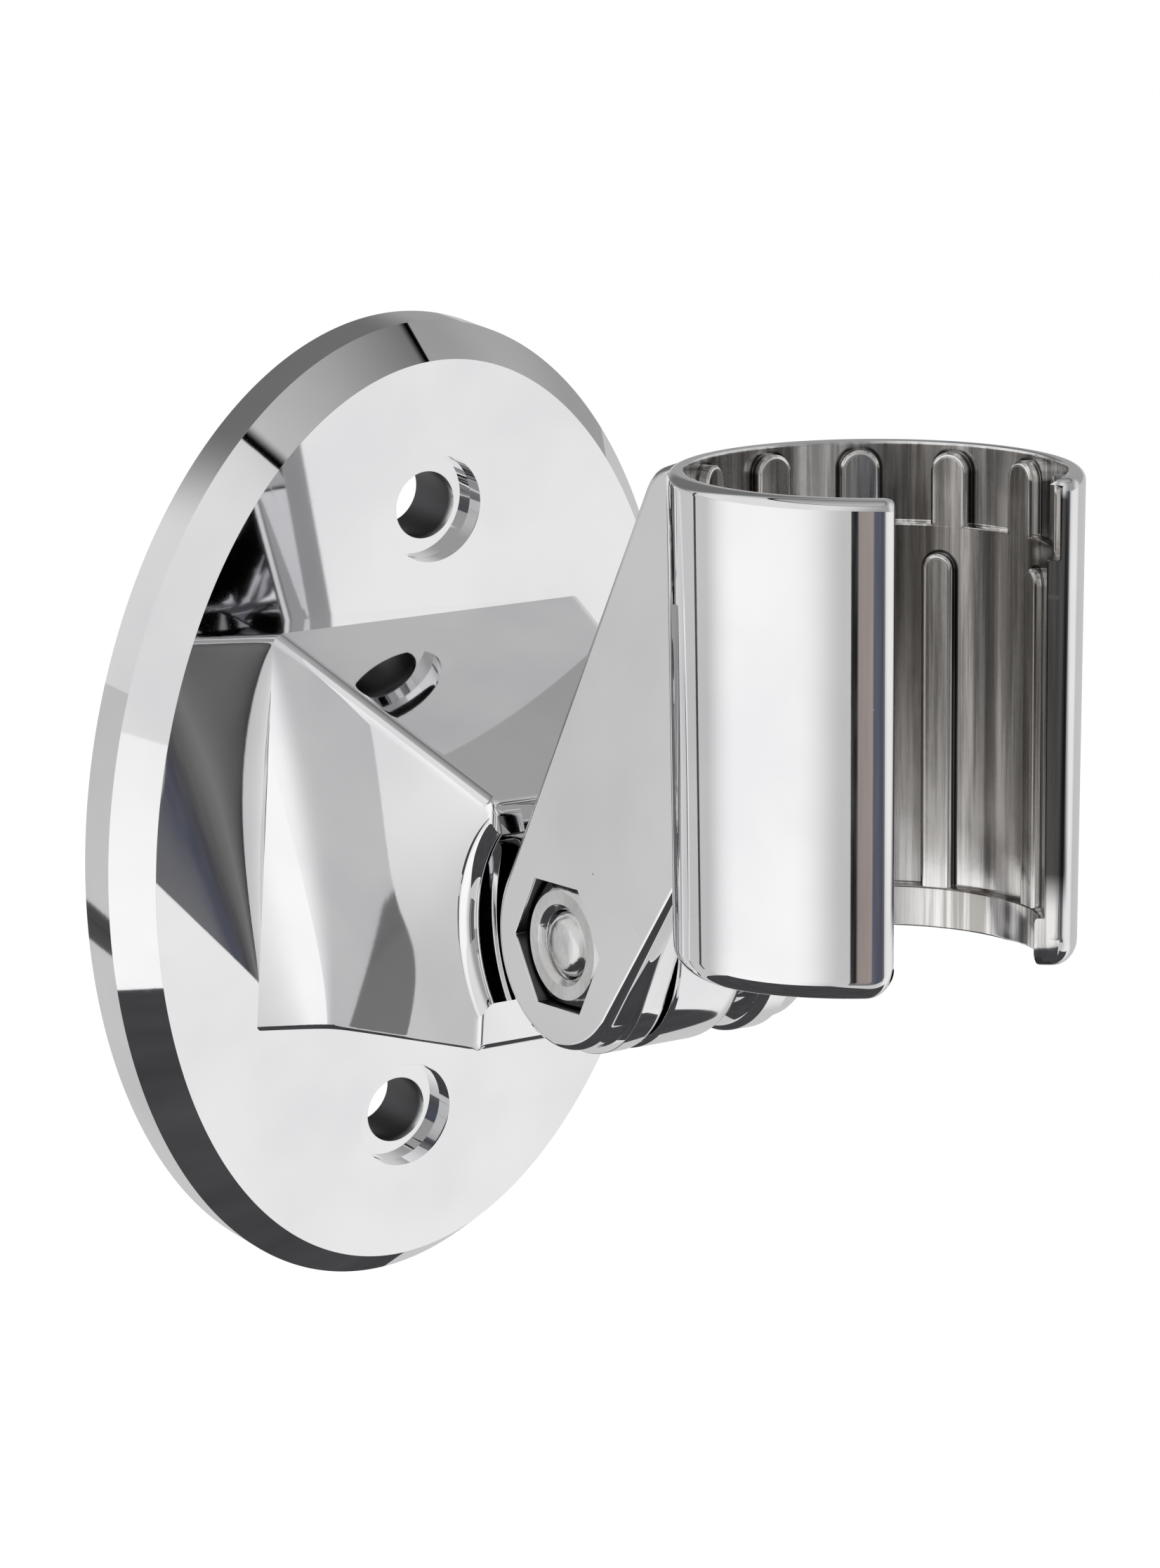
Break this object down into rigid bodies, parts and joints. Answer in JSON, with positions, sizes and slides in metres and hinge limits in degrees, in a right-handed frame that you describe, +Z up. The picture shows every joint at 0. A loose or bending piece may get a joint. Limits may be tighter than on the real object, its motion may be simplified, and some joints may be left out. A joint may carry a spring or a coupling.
{
  "type": "hand shower wall bracket",
  "caption": "Chromed wall bracket for a hand shower: oval plate with a faceted block, and an open ribbed cradle on a fork that tilts on a bolted friction pivot.",
  "frame": {"origin": "on the wall, midway between the two screw holes, at the centre of the plate's back face", "axes": "+X to the right as one faces the wall, +Y into the wall, +Z up; everything stands out of the wall towards -Y"},
  "size_m": [0.0596, 0.085, 0.091],
  "materials": {
    "bracket_chrome": "mirror",
    "cradle_chrome": "mirror",
    "plated_steel": "bright",
    "washer_plastic": "matte"
  },
  "bodies": {
    "bracket": {"wall_bracket": "bracket_chrome"},
    "cradle": {"cradle": "cradle_chrome", "hex_nut": "plated_steel", "pivot_bolt": "plated_steel", "friction_washers": "washer_plastic"}
  },
  "joints": [
    {"name": "cradle_tilt", "type": "hinge", "parent": "bracket", "child": "cradle", "pos_m": [0, -0.0433, 0.0002], "axis": [1, 0, 0], "range_deg": [-16, 138]}
  ]
}
